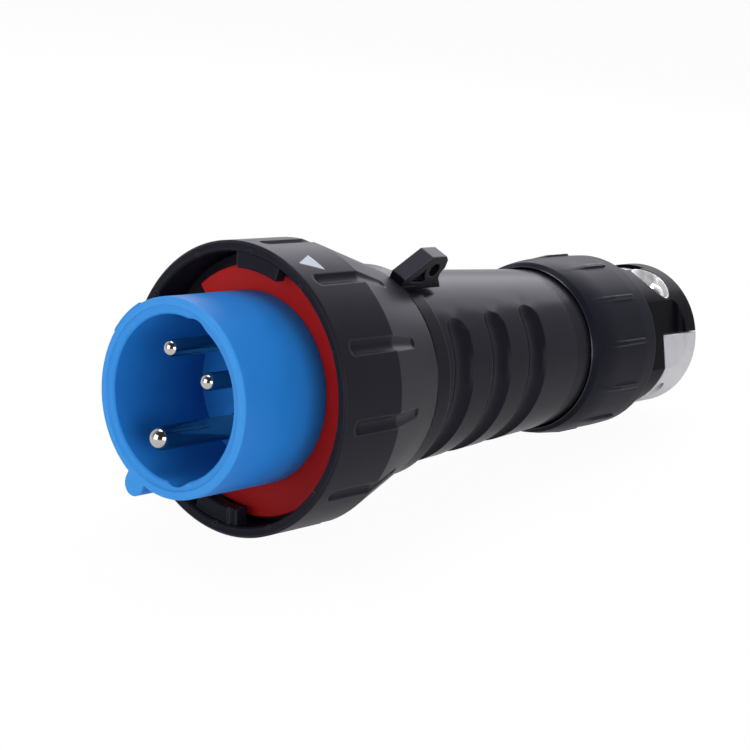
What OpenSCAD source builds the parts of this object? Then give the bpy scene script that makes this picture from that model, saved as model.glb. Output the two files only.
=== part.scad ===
// Industrial pin-and-sleeve plug with a bayonet locking ring, a grip handle and a cord grip.
// The plug lies along Y: contacts towards -Y, cord entry towards +Y, +Z up.
// The origin is on the axis, in the front face of the sealing gasket.
// Stations are distances in mm behind the rim of the blue shroud.
// Clock angles are seen from the front, from +X towards +Z, before the plug is turned to lie on a flute.

/* [Shroud and contacts] */
// Outside diameter of the shroud
shroud_d = 56; // [50:0.5:60]
// Wall of the shroud
shroud_wall = 4.8; // [3:0.1:5.4]
// Rim of the shroud to the sealing face
shroud_len = 33; // [28:0.1:36]
// Rim of the shroud to its floor
shroud_depth = 36; // [34.5:0.1:38]
// Thickness of the floor that carries the contacts
floor_t = 8; // [6:0.5:10]
// Clock angle of the index: key and earth lie opposite it
index_angle = 55; // [0:1:180]
// Radius of the circle on which the contacts stand
contact_circle_r = 13.8; // [13:0.1:14.5]
// Angle from the index to the line and neutral contacts
contact_step = 36; // [30:1:45]
// Diameter of the earth contact
earth_d = 7; // [6:0.1:8]
// Diameter of the line and neutral contacts
phase_d = 5; // [4:0.1:6]
// How far the earth tip lies behind the rim
earth_recess = 0; // [0:0.1:3]
// How far the line and neutral tips lie behind the rim
phase_recess = 0.2; // [0:0.1:4]
// Width of the outside key
key_w = 7; // [5:0.5:9]
// Height of the key above the shroud
key_h = 4.8; // [3.6:0.1:5.6]
// Depth of the coding notches in the mouth
notch_t = 1.2; // [0.6:0.1:2]
// Width of a coding notch at the mouth
notch_w = 9; // [7:0.5:11]
// Clock angles of the coding notches
notch_angles = [59, -90]; // [-180:1:180]
// Height of the lead-in pad beside the rim
pad_h = 0.4; // [0.2:0.1:0.8]

/* [Gasket and flange] */
// Thickness of the sealing gasket
gasket_t = 2.5; // [1.5:0.1:3]
// Thickness of the insert's flange
flange_t = 4.5; // [3.5:0.1:6]
// Radial clearance between parts that turn or slide
running_gap = 0.4; // [0.3:0.05:0.6]

/* [Locking ring] */
// Outside diameter of the locking ring
ring_d = 84.8; // [82:0.2:90]
// Wall of the locking ring
ring_wall = 3.1; // [2.5:0.1:4]
// Station of the ring's front rim
ring_front = 24.3; // [20:0.1:27]
// Length of the ring's cylindrical part
ring_grip_len = 24.1; // [18:0.1:26]
// Length of the ring's cone
ring_cone_len = 27.5; // [24:0.1:32]
// Outside diameter at the cone's rear edge
ring_tail_d = 67.6; // [67:0.1:72]
// Number of flutes round the ring
flute_count = 12; // [6:1:16]
// Radius of the rounded flutes
flute_r = 2.7; // [2:0.1:3.5]
// Depth of a flute
flute_t = 1.2; // [0.6:0.1:1.8]
// Height of the two bayonet lugs inside the ring
bayonet_h = 4.8; // [3:0.1:6]
// Angle that a bayonet lug spans
bayonet_span = 24.5; // [20:0.5:34]
// Thickness of a bayonet lug along the axis
bayonet_t = 4.6; // [3:0.1:6]
// Clock angle of the first bayonet lug
bayonet_angle = 72.4; // [60:0.1:90]

/* [Housing and collar] */
// Diameter of the neck that carries ring and collar
neck_d = 62; // [61:0.1:63]
// Width of the collar behind the ring
collar_w = 7.2; // [6:0.1:10]
// Height of the collar above the neck
collar_h = 2; // [1.5:0.1:3]
// Gap between the ring's rear edge and the collar
ring_rear_gap = 1.1; // [0.8:0.1:2]
// Length of the handle behind the collar
handle_len = 76; // [70:1:90]
// Diameter of the handle's rear end
handle_tail_d = 55.2; // [54:0.1:57]
// Number of finger grooves
groove_count = 3; // [1:1:3]
// Distance between finger grooves
groove_pitch = 20.8; // [16:0.1:22]
// Radius of a finger groove's round section
groove_r = 8; // [6:0.1:10]
// Depth of a finger groove
groove_t = 2.1; // [1:0.1:2.6]
// Clock angle at which the grooves end beside the top
groove_end_angle = 20; // [15:1:45]
// Lean of the grooves, towards the rear at the top
groove_tilt = 3; // [0:1:12]
// Thickness of the padlock lug
lug_t = 5.4; // [4:0.1:7]
// Diameter of the padlock hole
lug_hole_d = 4.5; // [4:0.1:5]

/* [Cord grip] */
// Diameter of the gland nut
nut_d = 61; // [60:0.2:64]
// Length of the gland nut
nut_len = 38; // [34:0.5:42]
// Number of grip ribs on the nut
nut_rib_count = 12; // [6:1:18]
// Height of a grip rib
nut_rib_h = 0.7; // [0.4:0.1:1]
// Diameter of the threaded spigot
spigot_d = 50; // [49:0.1:51]
// Diameter of the cord passage in the seal
cord_d = 14; // [10:0.5:15]
// Diameter of the cord clamp behind the nut
clamp_d = 51.4; // [50:0.1:52]
// Length of the cord clamp behind the nut
clamp_len = 36.2; // [32:0.1:40]
// Length of the saddle
saddle_len = 18; // [16:0.5:20]
// Distance from the axis to a clamp screw
clamp_screw_x = 15.5; // [14.5:0.1:16]
// Diameter of the clamp screws
clamp_screw_d = 4; // [4:0.1:5]
// Diameter of the clamp screw heads
clamp_head_d = 9.4; // [8:0.1:10]

/* [Hidden] */
$fn = 96;
over = 1; // how far a cutter runs past a face
lie_angle = 15;               // turn about the axis that brings a flute of the ring underneath

shroud_r = shroud_d / 2;
mouth_r = shroud_r - shroud_wall;
root_r = shroud_r - 0.4;      // undercut that holds the gasket
boss_t = 2;                   // bosses round the contacts
key_angle = index_angle - 180;
line_angle = index_angle + contact_step;
neutral_angle = index_angle - contact_step;
spare_angles = [index_angle + 3 * contact_step, index_angle - 3 * contact_step];
earth_r = earth_d / 2;
phase_r = phase_d / 2;

ring_r = ring_d / 2;
bore_r = ring_r - ring_wall;
ring_shoulder = ring_front + ring_grip_len;
ring_rear = ring_shoulder + ring_cone_len;
ring_tail_r = ring_tail_d / 2;
neck_r = neck_d / 2;
cone_slope = (ring_r - ring_tail_r) / ring_cone_len;

flange_front = shroud_len + gasket_t;
retainer_t = 2.6;             // black ring that holds the insert's flange
seat_front = flange_front + retainer_t;
flange_rear = flange_front + flange_t;
gasket_r = shroud_r + 0.65 * (bore_r - shroud_r);
lobe_r = shroud_r + 0.85 * (bore_r - shroud_r);    // gasket's wider lobe
flange_r = gasket_r + 0.3;
floor_rear = shroud_depth + floor_t;
skirt_r = 26;                 // insert's rear skirt, which fits the housing
skirt_wall = 2.6;
skirt_end = floor_rear + 9;
carrier_r = skirt_r - skirt_wall;
carrier_end = floor_rear + 20;

insert_screw_count = 4;
insert_screw_r = (shroud_r + flange_r) / 2;
insert_screw_d = 3;
insert_head_d = 5.4;
insert_head_t = 1.6;
insert_screw_len = 12;

bell_rear = ring_shoulder - 0.7;
bell_r = bore_r - running_gap;
chamber_r = 23;               // wire chamber inside the handle
collar_front = ring_rear + ring_rear_gap;
collar_rear = collar_front + collar_w;
collar_r = neck_r + collar_h;
handle_rear = collar_rear + handle_len;
handle_tail_r = handle_tail_d / 2;
handle_slope = (neck_r - handle_tail_r) / handle_len;
first_groove = 9.6;           // first finger groove behind the collar
groove_end_step = 2.4;        // each groove ends a little higher than the one before

spigot_r = spigot_d / 2;
spigot_bore_r = 20;
tail_len = 7.8;               // slimmer end of the handle before the nut
tail_r = handle_tail_r - 0.5;
nut_front = handle_rear + tail_len;
nut_rear = nut_front + nut_len;
nut_r = nut_d / 2;
nut_wall = 2.9;
spigot_front = nut_front + 4;
spigot_rear = spigot_front + 19.5;
lip_r = tail_r + 2 * running_gap;    // inside of the nut's front lip
thread_r = spigot_r + running_gap;
nut_lip_t = 4;                // nut's rear lip, which holds the clamp body
clamp_r = clamp_d / 2;
clamp_rear = nut_rear + clamp_len;
clamp_flange_rear = nut_rear - nut_lip_t - 0.3;
clamp_flange_t = 3.6;
clamp_flange_r = nut_r - nut_wall - running_gap;
barrel_r = spigot_bore_r - running_gap;
barrel_front = spigot_rear - 4.5;
washer_t = 2.5;
seal_len = 16;
seal_front = barrel_front - washer_t - seal_len;
cord_r = cord_d / 2;
passage_r = cord_r + 1.2;     // passage behind the seal

saddle_front = clamp_rear - saddle_len;
clamp_screw_back = 14;        // screws before the rear face
clamp_screw_s = clamp_rear - clamp_screw_back;
clamp_screw_r = clamp_screw_d / 2;
clamp_head_r = clamp_head_d / 2;
clamp_head_t = 5;
clamp_head_z = 13.4;          // underside of the heads above the split
clamp_washer_t = 1;
clamp_pocket_r = clamp_head_r + 1.9;
bridge_half_w = 6.2;          // steel bridge across the top, between the pockets
bridge_r = clamp_r - 1;
bridge_t = 1.2;
bush_r = clamp_screw_r + 1;    // threaded bushes in the saddle
bush_len = 10;
bush_sink = 1;                // bushes below the split
clamp_flat_x = 22.6;          // flats on the sides of the clamp
flat_end_gap = 12;            // end of the flats before the rear face
clamp_cavity_r = 10.5;        // hollow of the clamp body before the jaws
split_gap = 0.4;

// Axis along Y, stations counted from the shroud's rim
module on_axis() {
    translate([0, -shroud_len, 0]) rotate([-90, 0, 0]) rotate([0, 0, -lie_angle]) children();
}
// Turn to a clock angle
module clock(angle) {
    rotate([0, 0, -angle]) children();
}
// A turned solid from its half section: [radius, station] points
module turned(points) {
    rotate_extrude() polygon(points);
}
module rod(r, s0, s1) {
    translate([0, 0, s0]) cylinder(r = r, h = s1 - s0);
}
module at_radius(angle, r) {
    clock(angle) translate([r, 0, 0]) children();
}

anchor_step = 0.4;            // the shaft is thicker where the moulding grips it
contact_collar = 1.4;         // collar above the shaft
contact_collar_t = 2;
terminal_r = 4.3;
terminal_end = carrier_end - 2;
wire_r = 1.9;
terminal_screw_r = 1.75;
terminal_screw_s = terminal_end - 5;

module contact(shaft_r, tip) {
    dome_r = shaft_r + 0.02;
    difference() {
        union() {
            intersection() {
                rod(shaft_r, tip, tip + dome_r);
                translate([0, 0, tip + dome_r]) sphere(r = dome_r);
            }
            rod(shaft_r, tip + dome_r, shroud_depth);
            rod(shaft_r + anchor_step, shroud_depth - boss_t, floor_rear);
            rod(shaft_r + contact_collar, floor_rear, floor_rear + contact_collar_t);
            rod(terminal_r, floor_rear + contact_collar_t, terminal_end);
        }
        rod(wire_r, terminal_end - 12, terminal_end + over);
        translate([0, 0, terminal_screw_s]) rotate([0, 90, 0]) cylinder(r = terminal_screw_r, h = terminal_r + over);
    }
}

module pin_earth() {
    color([0.80, 0.79, 0.76]) on_axis() at_radius(key_angle, contact_circle_r) contact(earth_r, earth_recess);
}
module pin_line() {
    color([0.80, 0.79, 0.76]) on_axis() at_radius(line_angle, contact_circle_r) contact(phase_r, phase_recess);
}
module pin_neutral() {
    color([0.80, 0.79, 0.76]) on_axis() at_radius(neutral_angle, contact_circle_r) contact(phase_r, phase_recess);
}

// Shroud, contact floor and flange are one moulding
module contact_insert() {
    rim_step = 0.6;
    color([0.10, 0.42, 0.80]) on_axis() difference() {
        union() {
            turned([
                [mouth_r, 2 * rim_step], [mouth_r + rim_step, rim_step], [mouth_r + 2.2, rim_step],
                [mouth_r + 2.5, 0], [shroud_r - rim_step, 0], [shroud_r, rim_step],
                [shroud_r, shroud_len], [root_r, shroud_len], [root_r, flange_front],
                [shroud_r, flange_front], [shroud_r, seat_front], [flange_r, seat_front], [flange_r, flange_rear],
                [skirt_r, flange_rear], [skirt_r, skirt_end], [carrier_r, skirt_end],
                [carrier_r, floor_rear], [0, floor_rear], [0, shroud_depth], [mouth_r, shroud_depth]]);
            shroud_key();
            lead_in_pad(index_angle + 69, 26);
            at_radius(key_angle, contact_circle_r) rod(earth_r + 3, shroud_depth - boss_t, shroud_depth + over);
            for (a = [line_angle, neutral_angle])
                at_radius(a, contact_circle_r) rod(phase_r + 3, shroud_depth - boss_t, shroud_depth + over);
        }
        for (a = notch_angles) clock(a) coding_notch();
        at_radius(key_angle, contact_circle_r)
            rod(earth_r + anchor_step, shroud_depth - 2 * boss_t, floor_rear + over);
        for (a = [line_angle, neutral_angle])
            at_radius(a, contact_circle_r) rod(phase_r + anchor_step, shroud_depth - 2 * boss_t, floor_rear + over);
        for (a = spare_angles) at_radius(a, contact_circle_r) rod(carrier_screw_r, floor_rear - 6, floor_rear + over);
        each_insert_screw() rod(insert_screw_d / 2, seat_front - over, flange_rear + over);
        seal_groove(skirt_r, flange_rear + 4);
    }
}
module shroud_key() {
    clock(key_angle) linear_extrude(height = seat_front + over) {
        translate([shroud_r - 1.5, -key_w / 2]) square([key_h - key_w / 2 + 1.5, key_w]);
        translate([shroud_r + key_h - key_w / 2, 0]) circle(r = key_w / 2);
    }
}
module lead_in_pad(angle, span) {
    pad_len = 5;
    clock(angle) rotate([0, 0, -span / 2]) rotate_extrude(angle = span)
        polygon([[shroud_r - 1, 0.6], [shroud_r, 0.1], [shroud_r + pad_h, 0.6],
                 [shroud_r + pad_h, pad_len - 1], [shroud_r - 1, pad_len + 1]]);
}
module coding_notch() {
    notch_r = 1 / (1 / mouth_r + 8 * notch_t / (notch_w * notch_w));
    translate([mouth_r + notch_t - notch_r, 0, -over]) cylinder(r = notch_r, h = shroud_depth - boss_t + over);
}
module each_insert_screw() {
    for (i = [0 : insert_screw_count - 1])
        at_radius(index_angle - 45 + i * 360 / insert_screw_count, insert_screw_r) children();
}
// Round groove for a seal ring whose outside meets the bore
seal_ring_r = 1.1;
module seal_groove(land_r, s) {
    difference() {
        rod(land_r + over, s - seal_ring_r - 0.1, s + seal_ring_r + 0.1);
        rod(land_r + running_gap - 2 * seal_ring_r, s - 2 * seal_ring_r, s + 2 * seal_ring_r);
    }
}
module seal_ring(land_r, s) {
    translate([0, 0, s]) rotate_extrude()
        translate([land_r + running_gap - seal_ring_r, 0]) circle(r = seal_ring_r - 0.02, $fn = 32);
}

// Black ring, screwed to the housing, that clamps the insert's flange and carries the gasket
module retaining_ring() {
    play = 0.15;
    color([0.10, 0.10, 0.11]) on_axis() difference() {
        turned([[shroud_r + play, flange_front], [bell_r - 0.4, flange_front], [bell_r, flange_front + 0.4],
                [bell_r, seat_front], [shroud_r + play, seat_front]]);
        clock(key_angle) translate([shroud_r - over, -key_w / 2 - play, flange_front - over])
            cube([key_h + play + over, key_w + 2 * play, retainer_t + 2 * over]);
        each_insert_screw() {
            rod(insert_screw_d / 2, flange_front - over, seat_front + over);
            rod(insert_head_d / 2, flange_front - over, flange_front + insert_head_t);
        }
    }
}

module insert_seal() {
    color([0.08, 0.08, 0.08]) on_axis() seal_ring(skirt_r, flange_rear + 4);
}

module insert_screws() {
    color([0.75, 0.75, 0.73]) on_axis() each_insert_screw() difference() {
        union() {
            rod(insert_head_d / 2 - 0.2, flange_front + 0.1, flange_front + insert_head_t);
            rod(insert_screw_d / 2 - 0.05, flange_front + insert_head_t, flange_front + insert_screw_len);
        }
        cross_slot(flange_front + 0.1, 1, 3.4);
    }
}
// Cross recess in a screw head, cut downwards from station s
module cross_slot(s, depth, w) {
    for (a = [0, 90]) rotate([0, 0, a]) translate([-w / 2, -0.5, s - over]) cube([w, 1, depth + over]);
}

// Terminal block behind the contact floor
carrier_screw_r = 1.5;
carrier_screw_sink = 8;
carrier_head_t = 2.4;
module rear_carrier() {
    color([0.88, 0.88, 0.86]) on_axis() difference() {
        rod(carrier_r - 0.1, floor_rear, carrier_end);
        at_radius(key_angle, contact_circle_r) terminal_chamber(earth_r);
        at_radius(line_angle, contact_circle_r) terminal_chamber(phase_r);
        at_radius(neutral_angle, contact_circle_r) terminal_chamber(phase_r);
        for (a = spare_angles) at_radius(a, contact_circle_r) {
            rod(carrier_screw_r, floor_rear - over, carrier_end + over);
            rod(carrier_screw_r * 2, carrier_end - carrier_screw_sink, carrier_end + over);
        }
    }
}
module terminal_chamber(shaft_r) {
    rod(shaft_r + contact_collar, floor_rear - over, floor_rear + contact_collar_t);
    rod(terminal_r, floor_rear + contact_collar_t - 0.01, terminal_end);
    rod(wire_r + 0.8, terminal_end - over, carrier_end + over);
    translate([0, 0, terminal_screw_s]) rotate([0, 90, 0]) cylinder(r = terminal_screw_r + 0.3, h = carrier_r);
}
module terminal_screws() {
    module screw() {
        translate([wire_r - 0.6, 0, terminal_screw_s]) rotate([0, 90, 0]) difference() {
            cylinder(r = terminal_screw_r - 0.05, h = 6.5);
            translate([-2, -0.4, 5.5]) cube([4, 0.8, 2]);
        }
    }
    color([0.72, 0.70, 0.62]) on_axis() for (a = [key_angle, line_angle, neutral_angle])
        at_radius(a, contact_circle_r) screw();
}
module carrier_screws() {
    head_s = carrier_end - carrier_screw_sink;
    color([0.75, 0.75, 0.73]) on_axis() for (a = spare_angles) at_radius(a, contact_circle_r) difference() {
        union() {
            rod(carrier_screw_r - 0.05, floor_rear - 5.5, head_s);
            rod(carrier_screw_r * 2 - 0.2, head_s, head_s + carrier_head_t);
        }
        translate([-2, -0.4, head_s + carrier_head_t - 1]) cube([4, 0.8, 2]);
    }
}

// Flat ring, wider where a pad lies on the flange and widest at a lobe
pad_angles = [-117, 121];
lobe_angles = [-99, -51];
module face_gasket() {
    base_r = shroud_r + 4;
    key_cut_s = shroud_len - over;
    key_cut_h = gasket_t + 2 * over;
    color([0.70, 0.08, 0.08]) on_axis() difference() {
        union() {
            turned([[root_r, shroud_len], [base_r, shroud_len], [base_r, flange_front], [root_r, flange_front]]);
            gasket_pad(pad_angles, base_r - over, gasket_r);
            gasket_pad(lobe_angles, base_r - over, lobe_r);
        }
        clock(key_angle) translate([root_r - over, -key_w / 2, key_cut_s])
            cube([shroud_r - root_r + key_h - key_w / 2 + over, key_w, key_cut_h]);
        clock(key_angle) translate([shroud_r + key_h - key_w / 2, 0, key_cut_s]) cylinder(r = key_w / 2, h = key_cut_h);
    }
}
module gasket_pad(angles, r0, r1) {
    edge = 0.3;
    clock(angles[1]) rotate_extrude(angle = angles[1] - angles[0])
        polygon([[r0, shroud_len], [r1 - edge, shroud_len], [r1, shroud_len + edge], [r1, flange_front], [r0, flange_front]]);
}

module locking_ring() {
    rim_edge = 0.6;
    rear_bore_r = neck_r + running_gap;
    rear_land = 5;
    color([0.13, 0.13, 0.14]) on_axis() difference() {
        union() {
            turned([
                [bore_r + rim_edge, ring_front], [ring_r - rim_edge, ring_front], [ring_r, ring_front + rim_edge],
                [ring_r, ring_shoulder], [ring_tail_r, ring_rear], [rear_bore_r, ring_rear],
                [rear_bore_r, ring_rear - rear_land], [bore_r, ring_shoulder + 0.8], [bore_r, ring_front + rim_edge]]);
            for (turn = [0, 180]) clock(bayonet_angle + turn) bayonet_lug();
            clock(bayonet_angle + 180 + bayonet_span / 2 - 4) translate([bore_r - bayonet_h, -0.6, ring_front + 1.3])
                cube([bayonet_h + over, 1.2, bayonet_t]);
        }
        for (i = [0 : flute_count - 1]) clock(15 + i * 360 / flute_count) {
            flute();
            translate([bore_r - 0.5, -0.4, ring_front - over]) cube([1.6, 0.8, over + 0.7]);
        }
        clock(index_angle) mark_recess(mark_t);
    }
}
module bayonet_lug() {
    lug_front = ring_front + 2;
    rotate([0, 0, -bayonet_span / 2]) rotate_extrude(angle = bayonet_span)
        polygon([[bore_r - bayonet_h, lug_front + 0.6], [bore_r - bayonet_h + 0.6, lug_front],
                 [bore_r + over, lug_front], [bore_r + over, lug_front + bayonet_t],
                 [bore_r - bayonet_h, lug_front + bayonet_t - 0.8]]);
}
// A flute runs level on the grip and then follows the cone, where it fades
module flute() {
    start = ring_front + 6.7;
    centre = ring_r - flute_t + flute_r;
    fade_len = 13;
    fade = atan(cone_slope) - 3.2;
    end_r = flute_r + 0.08;
    translate([centre, 0, start]) sphere(r = end_r, $fn = 48);
    translate([centre, 0, start]) cylinder(r = flute_r, h = ring_shoulder - start, $fn = 48);
    translate([centre, 0, ring_shoulder]) sphere(r = end_r, $fn = 48);
    translate([centre, 0, ring_shoulder]) rotate([0, -fade, 0]) {
        cylinder(r = flute_r, h = fade_len, $fn = 48);
        translate([0, 0, fade_len]) sphere(r = end_r, $fn = 48);
    }
}

// Pale triangle inlaid in the ring, pointing to the contacts
mark_t = 0.5;
mark_w = 7.2;
mark_len = 7.2;
module mark_recess(depth) {
    translate([ring_r - depth, 0, ring_front + 4.9]) rotate([0, 90, 0]) mirror([1, 0, 0])
        linear_extrude(height = depth + over)
            polygon([[mark_len, -mark_w / 2], [mark_len, mark_w / 2], [0, 0]]);
}
module index_mark() {
    color([0.74, 0.77, 0.83]) on_axis() intersection() {
        clock(index_angle) mark_recess(mark_t);
        rod(ring_r, ring_front, ring_shoulder);
    }
}

// Collar with the padlock lug: it holds the locking ring on the neck
lug_hole_s = 12.8;            // hole behind the collar's front face
lug_hole_r = 38.2;
module rear_collar() {
    color([0.10, 0.10, 0.11]) on_axis() difference() {
        union() {
            turned([
                [neck_r, collar_front], [collar_r - 0.5, collar_front], [collar_r, collar_front + 0.5],
                [collar_r, collar_rear - 0.8], [collar_r - 0.8, collar_rear], [neck_r, collar_rear]]);
            clock(index_angle) lug_plate();
        }
        clock(index_angle) {
            translate([lug_hole_r, 0, collar_front + lug_hole_s]) rotate([90, 0, 0])
                cylinder(r = lug_hole_d / 2, h = lug_t + 2 * over, center = true);
            for (side = [-1, 1]) translate([0, side * lug_t / 2, 0]) lug_pocket();
        }
    }
}
// Upright plate along the axis: a ramp, a short flat top and a hollow rear edge
module lug_plate() {
    base = neck_r + 0.8;
    top = 43;
    translate([0, lug_t / 2, collar_front]) rotate([90, 0, 0]) linear_extrude(height = lug_t) difference() {
        polygon([[base, 0.2], [collar_r + 2.6, 0.2], [top, 9], [top, 15.8], [top - 1.4, 17.3], [top - 4, 17.6],
                 [base + 2.4, 17.6], [base, 19.6]]);
        translate([base + 4.6, 19.4]) circle(r = 2.9, $fn = 48);
    }
}
module lug_pocket() {
    pocket_t = 1.4;
    translate([0, pocket_t, collar_front]) rotate([90, 0, 0]) linear_extrude(height = 2 * pocket_t)
        difference() {
            polygon([[collar_r + 1.6, 3.6], [39.6, 9.6], [36.2, 12.4], [collar_r + 1.2, 9.4]]);
            translate([lug_hole_r, lug_hole_s]) circle(r = lug_hole_d / 2 + 1.7, $fn = 48);
        }
}

module housing() {
    bell_cone = 4.6;
    flange_seat_r = flange_r + 0.1;
    skirt_bore_r = skirt_r + running_gap;
    shoulder = skirt_end + 2;
    color([0.11, 0.11, 0.12]) on_axis() difference() {
        turned([
            [flange_seat_r, seat_front], [bell_r, seat_front],
            [bell_r, bell_rear], [neck_r, bell_rear + bell_cone], [neck_r, collar_rear],
            [handle_tail_r, handle_rear], [tail_r, handle_rear + 0.4], [tail_r, spigot_front],
            [spigot_r, spigot_front + 0.5], [spigot_r, spigot_rear - 1], [spigot_r - 1, spigot_rear],
            [spigot_bore_r, spigot_rear], [spigot_bore_r, seal_front], [passage_r + 4, seal_front],
            [passage_r + 4, seal_front - 4], [chamber_r - 3, seal_front - 8], [chamber_r, seal_front - 16],
            [chamber_r, carrier_end + 4], [skirt_bore_r, shoulder], [skirt_bore_r, flange_rear],
            [flange_seat_r, flange_rear]]);
        for (i = [0 : groove_count - 1])
            finger_groove(collar_rear + first_groove + i * groove_pitch, groove_end_angle + i * groove_end_step);
        each_insert_screw() rod(insert_screw_d / 2, flange_rear - over, flange_front + insert_screw_len + 0.5);
        seal_groove(spigot_r - 0.1, spigot_front + 2.6);
    }
}
// A round groove that goes down one side, under the handle and up the other
module finger_groove(s, end_angle) {
    wrap = 180 + 2 * end_angle;
    centre = neck_r - handle_slope * (s - collar_rear) - groove_t + groove_r;
    translate([0, 0, s]) rotate([-groove_tilt, 0, 0]) {
        clock(end_angle) rotate_extrude(angle = wrap)
            translate([centre, 0]) circle(r = groove_r, $fn = 48);
        for (a = [end_angle, 180 - end_angle])
            at_radius(a, centre) sphere(r = groove_r + 0.08, $fn = 48);
    }
}

module nut_seal() {
    color([0.08, 0.08, 0.08]) on_axis() seal_ring(spigot_r - 0.1, spigot_front + 2.6);
}

// Rubber seal with a tapered front that the thrust washer squeezes on the cord
module cable_seal() {
    seal_r = spigot_bore_r - 0.1;
    color([0.07, 0.07, 0.07]) on_axis() turned([
        [cord_r, seal_front], [seal_r - 1.5, seal_front], [seal_r, seal_front + 1.5],
        [seal_r, seal_front + seal_len], [cord_r, seal_front + seal_len]]);
}
module thrust_washer() {
    color([0.80, 0.80, 0.78]) on_axis() turned([
        [passage_r, barrel_front - washer_t], [spigot_bore_r - running_gap, barrel_front - washer_t],
        [spigot_bore_r - running_gap, barrel_front], [passage_r, barrel_front]]);
}

module gland_nut() {
    inner_r = nut_r - nut_wall;
    swell = 1.1;              // how much slimmer the nut is at its front edge
    swell_len = 12;
    swell_steps = 8;
    color([0.10, 0.11, 0.14]) on_axis() {
        turned([
            [lip_r, nut_front],
            for (i = [0 : swell_steps]) [nut_r - swell * pow(1 - i / swell_steps, 2), nut_front + 2 + i * swell_len / swell_steps],
            [nut_r, nut_rear - 7], [nut_r - 0.2, nut_rear - 0.6],
            [nut_r - 0.8, nut_rear], [clamp_r + 0.5, nut_rear], [clamp_r + 0.5, nut_rear - nut_lip_t],
            [inner_r, nut_rear - nut_lip_t], [inner_r, spigot_rear + 0.4], [thread_r, spigot_rear - 0.6],
            [thread_r, spigot_front + 1.6], [lip_r, spigot_front + 0.6]]);
        for (i = [0 : nut_rib_count - 1]) clock(i * 360 / nut_rib_count) nut_rib();
    }
}
// A rib rises slowly from the front and ends square at the rear
module nut_rib() {
    rib_front = nut_front + 6;
    rib_rear = nut_rear - 8;
    rib_w = 1.6;
    translate([0, rib_w / 2, 0]) rotate([90, 0, 0]) linear_extrude(height = rib_w)
        polygon([[nut_r - 1, rib_front], [nut_r - 0.45, rib_front], [nut_r + nut_rib_h, rib_front + 12],
                 [nut_r + nut_rib_h, rib_rear - 0.5], [nut_r, rib_rear], [nut_r - 1, rib_rear]]);
}

// Outer form of clamp body and saddle together
module clamp_form(s0) {
    edge = 0.8;
    difference() {
        turned([[0, s0], [clamp_r, s0], [clamp_r, clamp_rear - edge], [clamp_r - edge, clamp_rear], [0, clamp_rear]]);
        for (side = [-1, 1]) side_flat(side);
    }
}
// Flat on the side, which runs out in a curve before the rear flange
module side_flat(side) {
    fillet = 5;
    half_h = clamp_r * 0.6;
    translate([side > 0 ? clamp_flat_x : -clamp_r - over, -half_h, nut_rear - 1])
        cube([clamp_r + over - clamp_flat_x, 2 * half_h, clamp_rear - flat_end_gap - nut_rear + 1]);
    translate([side * (clamp_flat_x + fillet), half_h, clamp_rear - flat_end_gap]) rotate([90, 0, 0])
        cylinder(r = fillet, h = 2 * half_h);
}
module clamp_body() {
    color([0.10, 0.10, 0.12]) on_axis() difference() {
        union() {
            rod(barrel_r, barrel_front, clamp_flange_rear - 1);
            rod(clamp_flange_r, clamp_flange_rear - clamp_flange_t, clamp_flange_rear);
            clamp_form(clamp_flange_rear - 1);
        }
        rod(clamp_cavity_r, barrel_front - over, saddle_front);
        rod(passage_r, saddle_front - over, clamp_rear + over);
        // room for the saddle under the split
        translate([-clamp_r - over, -split_gap / 2, saddle_front - split_gap])
            cube([2 * clamp_r + 2 * over, clamp_r + over, saddle_len + split_gap + over]);
        each_clamp_screw() {
            translate([0, 0, -over]) cylinder(r = clamp_screw_r + 0.25, h = clamp_r);
            translate([0, 0, clamp_head_z - clamp_washer_t]) cylinder(r = clamp_pocket_r, h = clamp_r);
        }
        bridge_form(bridge_r - bridge_t, clamp_r + over, bridge_half_w + 0.2);
    }
}
// Curved form over the top of the clamp, from one pocket to the other
module bridge_form(r0, r1, half_w) {
    reach = asin((clamp_screw_x - clamp_pocket_r + 0.3) / bridge_r);
    clock(90 + reach) rotate_extrude(angle = 2 * reach)
        translate([r0, clamp_screw_s - half_w]) square([r1 - r0, 2 * half_w]);
}
module clamp_bridge() {
    color([0.80, 0.80, 0.79]) on_axis() difference() {
        bridge_form(bridge_r - bridge_t, bridge_r, bridge_half_w);
        each_clamp_screw() translate([0, 0, clamp_head_z]) cylinder(r = clamp_pocket_r, h = clamp_r);
    }
}
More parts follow.
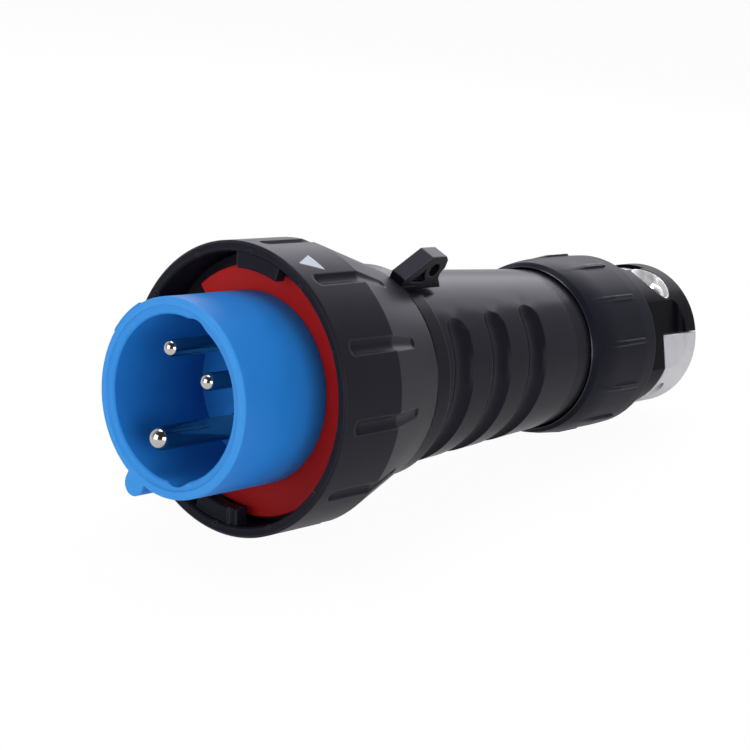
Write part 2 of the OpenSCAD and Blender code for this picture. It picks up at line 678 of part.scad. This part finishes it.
// Upright axis of a clamp screw, height zero in the split
module each_clamp_screw() {
    for (side = [-1, 1]) clamp_screw_axis(side) children();
}
module clamp_screw_axis(side) {
    translate([side * clamp_screw_x, 0, clamp_screw_s]) rotate([90, 0, 0]) children();
}
module clamp_saddle() {
    color([0.78, 0.78, 0.80]) on_axis() difference() {
        intersection() {
            clamp_form(nut_rear);
            translate([-clamp_r - over, split_gap / 2, saddle_front])
                cube([2 * clamp_r + 2 * over, clamp_r + over, saddle_len + over]);
        }
        rod(passage_r, saddle_front - over, clamp_rear + over);
        each_clamp_screw() {
            translate([0, 0, -clamp_r - over]) cylinder(r = bush_r, h = clamp_r + over - bush_sink);
            translate([0, 0, -bush_sink - over]) cylinder(r = clamp_screw_r + 0.25, h = clamp_r);
        }
    }
}
module clamp_screw(side) {
    shank = clamp_head_z + bush_sink + bush_len - 2;
    head_ball_r = clamp_head_r + 0.35;
    color([0.85, 0.85, 0.84]) on_axis() clamp_screw_axis(side) difference() {
        union() {
            intersection() {
                translate([0, 0, clamp_head_z]) cylinder(r = clamp_head_r, h = clamp_head_t + over);
                translate([0, 0, clamp_head_z + clamp_head_t - head_ball_r]) sphere(r = head_ball_r);
            }
            translate([0, 0, clamp_head_z - shank]) cylinder(r = clamp_screw_r, h = shank + 0.1);
        }
        for (a = [0, 90]) rotate([0, 0, a + 20])
            translate([-2.8, -0.6, clamp_head_z + clamp_head_t - 2]) cube([5.6, 1.2, 3]);
    }
}
module clamp_screw_left() { clamp_screw(-1); }
module clamp_screw_right() { clamp_screw(1); }
module clamp_washers() {
    color([0.80, 0.80, 0.79]) on_axis() each_clamp_screw() difference() {
        translate([0, 0, clamp_head_z - clamp_washer_t]) cylinder(r = clamp_head_r + 0.9, h = clamp_washer_t);
        translate([0, 0, clamp_head_z - clamp_washer_t - over])
            cylinder(r = clamp_screw_r + 0.2, h = clamp_washer_t + 2 * over);
    }
}
module clamp_bushes() {
    color([0.78, 0.68, 0.42]) on_axis() each_clamp_screw() difference() {
        translate([0, 0, -bush_sink - bush_len]) cylinder(r = bush_r, h = bush_len);
        translate([0, 0, -bush_sink - bush_len - over]) cylinder(r = clamp_screw_r + 0.05, h = bush_len + 2 * over);
    }
}

contact_insert();
pin_earth();
pin_line();
pin_neutral();
rear_carrier();
terminal_screws();
carrier_screws();
retaining_ring();
insert_screws();
insert_seal();
face_gasket();
locking_ring();
index_mark();
rear_collar();
housing();
nut_seal();
cable_seal();
thrust_washer();
gland_nut();
clamp_body();
clamp_bridge();
clamp_saddle();
clamp_screw_left();
clamp_screw_right();
clamp_washers();
clamp_bushes();
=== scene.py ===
from math import cos, pi, radians, sin

import bmesh
import bpy
from mathutils import Matrix, Vector


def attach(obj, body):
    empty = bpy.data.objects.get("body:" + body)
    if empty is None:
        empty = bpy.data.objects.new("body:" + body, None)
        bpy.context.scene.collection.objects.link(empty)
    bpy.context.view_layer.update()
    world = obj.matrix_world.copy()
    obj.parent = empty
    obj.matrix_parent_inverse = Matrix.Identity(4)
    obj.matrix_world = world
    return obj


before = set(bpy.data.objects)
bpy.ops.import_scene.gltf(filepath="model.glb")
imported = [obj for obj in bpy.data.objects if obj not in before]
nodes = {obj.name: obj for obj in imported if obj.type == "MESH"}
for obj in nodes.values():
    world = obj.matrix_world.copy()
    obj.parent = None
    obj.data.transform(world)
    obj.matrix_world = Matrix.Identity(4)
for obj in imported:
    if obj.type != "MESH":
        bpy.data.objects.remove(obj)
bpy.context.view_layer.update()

# ---- Camera ----
# The photograph looks at the plug from its contacts, 40 degrees round from the front and a little
# from above. The plug lies 15 degrees further round its axis than there, and the camera turns with it.
photo_right = Vector((0.75871, 0.63594, 0.14118)).normalized()
photo_up = Vector((-0.25767, 0.09393, 0.96165)).normalized()
photo_back = photo_right.cross(photo_up)
camera = bpy.data.objects.new("camera", bpy.data.cameras.new("camera"))
bpy.context.scene.collection.objects.link(camera)
camera.matrix_world = Matrix((photo_right, photo_up, photo_back)).transposed().to_4x4()
camera.location = (0.33417, -0.3724, 0.12949)
camera.data.sensor_width = 36
camera.data.lens = 86.4
bpy.context.scene.camera = camera

# ---- Contact insert ----
# One moulding of blue glass-filled nylon: the shroud with its key and notches, and the floor that
# holds the contacts. The mould is spark-eroded, so it comes out matt. Its rim is paler, partly rubbed and partly
# a painted highlight, and its paler edges are a painted highlight.


class Wire:
    """A socket of a finish, on which Python's operators add Math nodes."""

    def __init__(self, tree, socket=None):
        self.tree = tree
        self.socket = socket

    def node(self, kind, output=0, inputs=None, **settings):
        made = self.tree.nodes.new("ShaderNode" + kind)
        for setting, value in settings.items():
            setattr(made, setting, value)
        for socket, value in (inputs or {}).items():
            if isinstance(value, Wire):
                self.tree.links.new(value.socket, made.inputs[socket])
            else:
                made.inputs[socket].default_value = value
        return Wire(self.tree, made.outputs[output])

    def maths(self, operation, first, second=0.0):
        return self.node("Math", inputs={0: first, 1: second}, operation=operation)

    def __add__(self, other):
        return self.maths("ADD", self, other)

    def __sub__(self, other):
        return self.maths("SUBTRACT", self, other)

    def __rsub__(self, other):
        return self.maths("SUBTRACT", other, self)

    def __mul__(self, other):
        return self.maths("MULTIPLY", self, other)

    __radd__ = __add__
    __rmul__ = __mul__

    def rise(self, low, high):
        """0 below low and 1 above high, with a smooth step between."""
        return self.node("MapRange", inputs={"Value": self, "From Min": low, "From Max": high},
                         interpolation_type="SMOOTHSTEP")

    def tint(self, low, high):
        """The colour low where this is 0, and high where it is 1."""
        return self.node("Mix", output=2, inputs={0: self, 6: low, 7: high}, data_type="RGBA")

    def into(self, shader, socket):
        self.tree.links.new(self.socket, shader.inputs[socket])


def new_finish(name, **plain):
    """A material with its shader's plain values set, the shader, and the place of a point on the plug."""
    finish = bpy.data.materials.new(name)
    finish.use_nodes = True
    shader = finish.node_tree.nodes["Principled BSDF"]
    for socket, value in plain.items():
        shader.inputs[socket.replace("_", " ")].default_value = value
    place = Wire(finish.node_tree).node("TexCoord", output="Object")
    return finish, shader, place


def speckle(place, size, detail=2.0):
    """Noise from 0 to 1 with spots of that size, in metres."""
    return place.node("TexNoise", inputs={"Vector": place, "Scale": 1 / size, "Detail": detail})


def moulded_edges(place, radius):
    """The normal with its edges rounded, and how near a point is to such an edge, from 0 to 1."""
    rounded = place.node("Bevel", inputs={"Radius": radius}, samples=6)
    flat = place.node("NewGeometry", output="Normal")
    facing = place.node("VectorMath", output="Value", inputs={0: rounded, 1: flat}, operation="DOT_PRODUCT")
    return rounded, (1 - facing).rise(0.02, 0.25)


def grained(height, strength, depth, under=None):
    """The normal of a surface with a grain of that depth, in metres, on the normal under it."""
    inputs = {"Strength": strength, "Distance": depth, "Height": height}
    if under:
        inputs["Normal"] = under
    return height.node("Bump", inputs=inputs)


def put_on(finish, *names):
    """The finish goes on these nodes, in place of their plain one."""
    for name in names:
        mesh = nodes[name].data
        mesh.materials.clear()
        mesh.materials.append(finish)


shroud_length = 0.033
rim_band_from, rim_band_to = 0.0002, 0.0016
blue, blue_shader, place = new_finish("blue_nylon", Specular_IOR_Level=0.15)
rounded, edge = moulded_edges(place, 0.0005)
cloud = speckle(place, 0.012, 3.0)
grain = speckle(place, 0.00025)
behind_rim = place.node("SeparateXYZ", output="Y", inputs={0: place}) + shroud_length
rim_rub_and_highlight = 1 - behind_rim.rise(rim_band_from, rim_band_to)
body_blue = cloud.tint((0.013, 0.168, 0.505, 1), (0.018, 0.192, 0.560, 1))
rim_blue_and_highlight = (0.047, 0.290, 0.655, 1)
# The paler rim face is partly rubbed nylon and partly a painted highlight; the paler edges are a painted
# highlight.
(rim_rub_and_highlight * 0.6 + edge * 0.35).tint(body_blue, rim_blue_and_highlight).into(blue_shader, "Base Color")
(0.40 + cloud * 0.12 - edge * 0.08).into(blue_shader, "Roughness")
grained(grain, 0.25, 0.00002, rounded).into(blue_shader, "Normal")
put_on(blue, "contact_insert")

# ---- Contacts ----
# Solid brass pins, turned on a lathe with domed tips and nickel plated, so bright that they mirror
# the shroud. Faint turning lines run round them. The moulding grips them behind the floor.
nickel, nickel_shader, place = new_finish("bright_nickel", Metallic=1.0)
stretched = place.node("VectorMath", inputs={0: place, 1: (60, 9000, 60)}, operation="MULTIPLY")
turning = stretched.node("TexNoise", inputs={"Vector": stretched, "Scale": 1.0, "Detail": 3.0})
cloud = speckle(place, 0.004)
cloud.tint((0.42, 0.39, 0.36, 1), (0.54, 0.51, 0.47, 1)).into(nickel_shader, "Base Color")
(0.06 + cloud * 0.06 + turning * 0.05).into(nickel_shader, "Roughness")
grained(turning, 0.2, 0.00001).into(nickel_shader, "Normal")
put_on(nickel, "pin_earth", "pin_line", "pin_neutral")

# ---- Terminal block and its screws ----
# A white nylon block behind the floor carries the wire holes, with a clamping screw on each
# contact. Two steel screws through the block pull it up to the insert.
block, block_shader, place = new_finish("block_nylon")
rounded, edge = moulded_edges(place, 0.0003)
cloud = speckle(place, 0.006)
cloud.tint((0.60, 0.60, 0.57, 1), (0.68, 0.68, 0.65, 1)).into(block_shader, "Base Color")
(0.45 + cloud * 0.1 - edge * 0.1).into(block_shader, "Roughness")
grained(speckle(place, 0.0003), 0.2, 0.00002, rounded).into(block_shader, "Normal")
put_on(block, "rear_carrier")

steel, steel_shader, place = new_finish("zinc_steel", Metallic=1.0)
rounded, edge = moulded_edges(place, 0.0002)
cloud = speckle(place, 0.002)
(cloud * 0.7 + edge * 0.3).tint((0.42, 0.43, 0.45, 1), (0.66, 0.67, 0.68, 1)).into(steel_shader, "Base Color")
(0.24 + cloud * 0.14).into(steel_shader, "Roughness")
rounded.into(steel_shader, "Normal")
put_on(steel, "terminal_screws", "carrier_screws", "insert_screws")

# ---- Seal rings ----
# Two O-rings of black nitrile rubber, one between the insert and the housing and one under the nut,
# and the thick rubber sleeve that the nut squeezes on to the cord.
rubber, rubber_shader, place = new_finish("black_rubber")
cloud = speckle(place, 0.003)
cloud.tint((0.010, 0.010, 0.011, 1), (0.020, 0.020, 0.021, 1)).into(rubber_shader, "Base Color")
(0.55 + cloud * 0.15).into(rubber_shader, "Roughness")
grained(speckle(place, 0.0004), 0.3, 0.00003).into(rubber_shader, "Normal")
put_on(rubber, "insert_seal", "nut_seal", "cable_seal")

# ---- Housing ----
# The grip is one moulding of black glass-filled nylon, with leaning finger grooves on both sides.
# It is satin, with a painted highlight along its edges. A ring of the same nylon, held by four screws,
# clamps the insert's flange in the grip's mouth.


def black_nylon(name, low, high, gloss, roughness, edge_radius, grain_size=0.0004, grain_depth=0.00003):
    """Black glass-filled nylon out of an eroded mould, smoother along its edges, with a painted highlight on
    them.
    """
    finish, shader, place = new_finish(name, Specular_IOR_Level=gloss, Specular_Tint=(0.80, 0.78, 1.0, 1),
                                       Coat_Roughness=0.22)
    rounded, edge = moulded_edges(place, edge_radius)
    cloud = speckle(place, 0.018, 3.0)
    grain = speckle(place, grain_size, 3.0)
    painted_edge_highlight = tuple(4.5 * c for c in high[:3]) + (1,)
    # Edges are mixed towards a much paler colour: a painted highlight.
    (edge * 0.6).tint(cloud.tint(low, high), painted_edge_highlight).into(shader, "Base Color")
    (roughness + cloud * 0.08 + grain * 0.04 - edge * 0.08).into(shader, "Roughness")
    (edge * 0.6).into(shader, "Coat Weight")
    grained(grain, 0.3, grain_depth, rounded).into(shader, "Normal")
    return finish


grip = black_nylon("grip_nylon", (0.0094, 0.0090, 0.0122, 1), (0.0130, 0.0124, 0.0162, 1), gloss=0.058,
                   roughness=0.18, edge_radius=0.0006)
put_on(grip, "housing", "retaining_ring")

# ---- Collar ----
# A ring of the same nylon is pressed on behind the locking ring and keeps it on the neck. Its lug
# lets a padlock through, so that the plug can't be coupled.
collar = black_nylon("collar_nylon", (0.0050, 0.0048, 0.0066, 1), (0.0070, 0.0066, 0.0088, 1), gloss=0.095,
                     roughness=0.20, edge_radius=0.0006)
put_on(collar, "rear_collar")

# ---- Locking ring ----
# The bayonet ring is moulded in black nylon with a coarser grain: a cylinder with flutes to grip, a
# cone behind it, and two lugs inside that ride up the socket's ramps.
ring = black_nylon("ring_nylon", (0.0098, 0.0094, 0.0128, 1), (0.0134, 0.0129, 0.0168, 1), gloss=0.058,
                   roughness=0.28, edge_radius=0.0008, grain_depth=0.00004)
put_on(ring, "locking_ring")

# ---- Index mark ----
# A triangle in pale grey paint, pad-printed in a shallow recess of the ring, shows where the ring
# stands. The paint is a little uneven.
paint, paint_shader, place = new_finish("index_paint")
cloud = speckle(place, 0.0015)
cloud.tint((0.36, 0.40, 0.46, 1), (0.46, 0.50, 0.56, 1)).into(paint_shader, "Base Color")
(0.5 + cloud * 0.1).into(paint_shader, "Roughness")
put_on(paint, "index_mark")

# ---- Face gasket ----
# A flat ring of red silicone rubber round the root of the shroud, on top of the ring that holds the
# insert. The socket's sleeve presses into it.
silicone, silicone_shader, place = new_finish("red_silicone", Specular_IOR_Level=0.1)
rounded, edge = moulded_edges(place, 0.0003)
cloud = speckle(place, 0.009, 3.0)
cloud.tint((0.37, 0.0090, 0.0090, 1), (0.45, 0.0120, 0.0115, 1)).into(silicone_shader, "Base Color")
(0.45 + cloud * 0.15).into(silicone_shader, "Roughness")
grained(speckle(place, 0.0005), 0.25, 0.00003, rounded).into(silicone_shader, "Normal")
put_on(silicone, "face_gasket")

# ---- Thrust washer ----
# A washer stamped from natural nylon sheet lies between the seal and the clamp. It slides round on
# the seal, so that the turning nut doesn't twist it.
slip, slip_shader, place = new_finish("washer_nylon")
cloud = speckle(place, 0.004)
cloud.tint((0.45, 0.44, 0.40, 1), (0.52, 0.51, 0.47, 1)).into(slip_shader, "Base Color")
(0.35 + cloud * 0.1).into(slip_shader, "Roughness")
put_on(slip, "thrust_washer")

# ---- Gland nut ----
# The nut that squeezes the cord seal: bluish black nylon, with twelve ribs to grip and a lip that
# stands clear of the grip's end.
nut = black_nylon("nut_nylon", (0.0082, 0.0084, 0.0132, 1), (0.0116, 0.0118, 0.0178, 1), gloss=0.035,
                  roughness=0.28, edge_radius=0.0008, grain_size=0.0003)
put_on(nut, "gland_nut")

# ---- Cord clamp ----
# The upper half is black and carries the flange that the nut pushes, the lower half is a pale grey
# saddle. Both are nylon, and two chromed screws in brass bushes pull them together. A chromed strap
# lies across the top between the screws.
clamp = black_nylon("clamp_nylon", (0.0020, 0.0020, 0.0029, 1), (0.0030, 0.0029, 0.0041, 1), gloss=0.03,
                    roughness=0.26, edge_radius=0.0006)
put_on(clamp, "clamp_body")

grey, grey_shader, place = new_finish("grey_nylon", Specular_IOR_Level=0.3)
rounded, edge = moulded_edges(place, 0.0004)
cloud = speckle(place, 0.010, 3.0)
cloud.tint((0.49, 0.49, 0.495, 1), (0.55, 0.55, 0.555, 1)).into(grey_shader, "Base Color")
(0.40 + cloud * 0.1 - edge * 0.06).into(grey_shader, "Roughness")
grained(speckle(place, 0.0004), 0.2, 0.00003, rounded).into(grey_shader, "Normal")
put_on(grey, "clamp_saddle")

brass, brass_shader, place = new_finish("bush_brass", Metallic=1.0)
cloud = speckle(place, 0.002)
cloud.tint((0.60, 0.42, 0.17, 1), (0.74, 0.54, 0.24, 1)).into(brass_shader, "Base Color")
(0.22 + cloud * 0.12).into(brass_shader, "Roughness")
put_on(brass, "clamp_bushes")

chrome, chrome_shader, place = new_finish("screw_chrome", Metallic=1.0)
rounded, edge = moulded_edges(place, 0.0003)
cloud = speckle(place, 0.002)
cloud.tint((0.80, 0.80, 0.81, 1), (0.90, 0.90, 0.91, 1)).into(chrome_shader, "Base Color")
(0.08 + cloud * 0.08).into(chrome_shader, "Roughness")
rounded.into(chrome_shader, "Normal")
put_on(chrome, "clamp_screw_left", "clamp_screw_right", "clamp_washers", "clamp_bridge")

# A pressed steel cup lines each screw's pocket, with its rim just under the clamp's face. Its zinc is
# satin and spotted, so it looks pale in the pocket where the chromed head mirrors.
satin, satin_shader, place = new_finish("cup_zinc", Metallic=0.75)
spots = speckle(place, 0.0016, 2.0).rise(0.35, 0.65)
spots.tint((0.86, 0.85, 0.80, 1), (0.97, 0.97, 0.95, 1)).into(satin_shader, "Base Color")
(0.42 - spots * 0.12).into(satin_shader, "Roughness")
grained(spots, 0.4, 0.00008).into(satin_shader, "Normal")
cup_sides = 72
cup_outer, cup_inner, cup_hole = 0.0065, 0.00618, 0.00565
bead_outer, bead_inner, bead_height = 0.00643, 0.00625, 0.00012
floor_under, floor_top = 0.01245, 0.01278
fillet_high, fillet_in = 0.0130, 0.0060
screw_side, screw_station = 0.0155, 0.1952
clamp_face = 0.0254
lie_turn = Matrix.Rotation(radians(-15), 4, "Y")


def face_height(off_screw, across):
    """How high the clamp's round face is at a place that far from the screw."""
    return (clamp_face ** 2 - (screw_side + off_screw * across) ** 2) ** 0.5


for side, name in ((-1, "clamp_cup_left"), (1, "clamp_cup_right")):
    cup_mesh = bpy.data.meshes.new(name)
    shape = bmesh.new()
    rows = []
    for step in range(cup_sides):
        angle = step * 2 * pi / cup_sides
        along, across = sin(angle), cos(angle)
        section = ((cup_hole, floor_under), (cup_outer, floor_under), (cup_outer, face_height(cup_outer, across)),
                   (bead_outer, face_height(bead_outer, across) + bead_height),
                   (bead_inner, face_height(bead_inner, across) + bead_height),
                   (cup_inner, face_height(cup_inner, across)), (cup_inner, fillet_high), (fillet_in, floor_top),
                   (cup_hole, floor_top))
        rows.append([shape.verts.new(lie_turn @ Vector((side * (screw_side + radius * across),
                                                        screw_station + radius * along, height)))
                     for radius, height in section])
    for row, following in zip(rows, rows[1:] + rows[:1]):
        for i in range(len(row)):
            j = (i + 1) % len(row)
            shape.faces.new((row[i], row[j], following[j], following[i]))
    bmesh.ops.recalc_face_normals(shape, faces=shape.faces)
    shape.to_mesh(cup_mesh)
    shape.free()
    cup_mesh.shade_smooth()
    cup_mesh.materials.append(satin)
    cup = bpy.data.objects.new(name, cup_mesh)
    bpy.context.scene.collection.objects.link(cup)
    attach(cup, "cord_clamp")

# ---- Table and light ----
# A white table that touches the ring and the nut, and a white room for the camera. Soft boxes light
# the plug from over it, from the left and from low in front, and what the plug mirrors of the room is
# dark on the camera's side.
table_lean = radians(4.39)
ring_touches = (0, 0.0154, -0.04236)
mirrored_share, glow_share = 0.6, 0.965
table_mesh = bpy.data.meshes.new("table")
table_mesh.from_pydata([(-3, -3, 0), (3, -3, 0), (3, 3, 0), (-3, 3, 0)], [], [(0, 1, 2, 3)])
table = bpy.data.objects.new("table", table_mesh)
bpy.context.scene.collection.objects.link(table)
table.location = ring_touches
table.rotation_euler = (table_lean, 0, 0)
white = bpy.data.materials.new("table_white")
white.use_nodes = True
tree = white.node_tree
tree.nodes.clear()
path = tree.nodes.new("ShaderNodeLightPath")
seen = (Wire(tree, path.outputs["Is Camera Ray"]) + Wire(tree, path.outputs["Is Glossy Ray"]) * mirrored_share
        + Wire(tree, path.outputs["Is Transmission Ray"]))
matt = seen.node("BsdfDiffuse", inputs={"Color": (0.95, 0.95, 0.95, 1)})
glow = seen.node("Emission", inputs={"Color": (1, 1, 1, 1), "Strength": 1.0})
mixed = seen.node("MixShader", inputs={0: seen * glow_share, 1: matt, 2: glow})
output = tree.nodes.new("ShaderNodeOutputMaterial")
tree.links.new(mixed.socket, output.inputs["Surface"])
table_mesh.materials.append(white)

room_light, dark_side = 0.27, 0.95
world = bpy.data.worlds.new("room")
world.use_nodes = True
bpy.context.scene.world = world
tree = world.node_tree
path = tree.nodes.new("ShaderNodeLightPath")
mirrored = Wire(tree, path.outputs["Is Glossy Ray"])
seen = Wire(tree, path.outputs["Is Camera Ray"]) + mirrored + Wire(tree, path.outputs["Is Transmission Ray"])
direction = mirrored.node("TexCoord", output="Generated")
front = direction.node("VectorMath", output="Value", inputs={0: direction, 1: tuple(photo_back)},
                       operation="DOT_PRODUCT").rise(-0.35, 0.65)
room = tree.nodes["Background"]
(room_light + seen * (1 - room_light) - mirrored * front * dark_side).into(room, "Strength")
mirrored.tint((1, 1, 1, 1), (0.93, 0.92, 1.0, 1)).into(room, "Color")


def soft_box(name, right, up, back, width, height, power):
    """A soft box that looks at the middle of the plug, placed from there in the camera's directions."""
    middle = Vector((0, 0.07, 0))
    lamp = bpy.data.objects.new(name, bpy.data.lights.new(name, "AREA"))
    bpy.context.scene.collection.objects.link(lamp)
    lamp.data.shape = "RECTANGLE"
    lamp.data.size = width
    lamp.data.size_y = height
    lamp.data.energy = power
    lamp.data.color = (0.94, 0.93, 1.0)
    lamp.location = middle + photo_right * right + photo_up * up + photo_back * back
    lamp.rotation_euler = (lamp.location - middle).to_track_quat("Z", "Y").to_euler()


soft_box("box_back", 0.25, 0.65, -0.70, 1.0, 0.45, 3.9)
soft_box("box_top", 0.0, 1.0, 0.15, 0.8, 0.5, 7.0)
soft_box("box_left", -0.70, 0.10, 0.65, 0.6, 0.6, 4.2)
soft_box("box_low", 0.45, -0.10, 0.85, 0.6, 0.4, 4.0)

bpy.context.scene.view_settings.view_transform = "Standard"
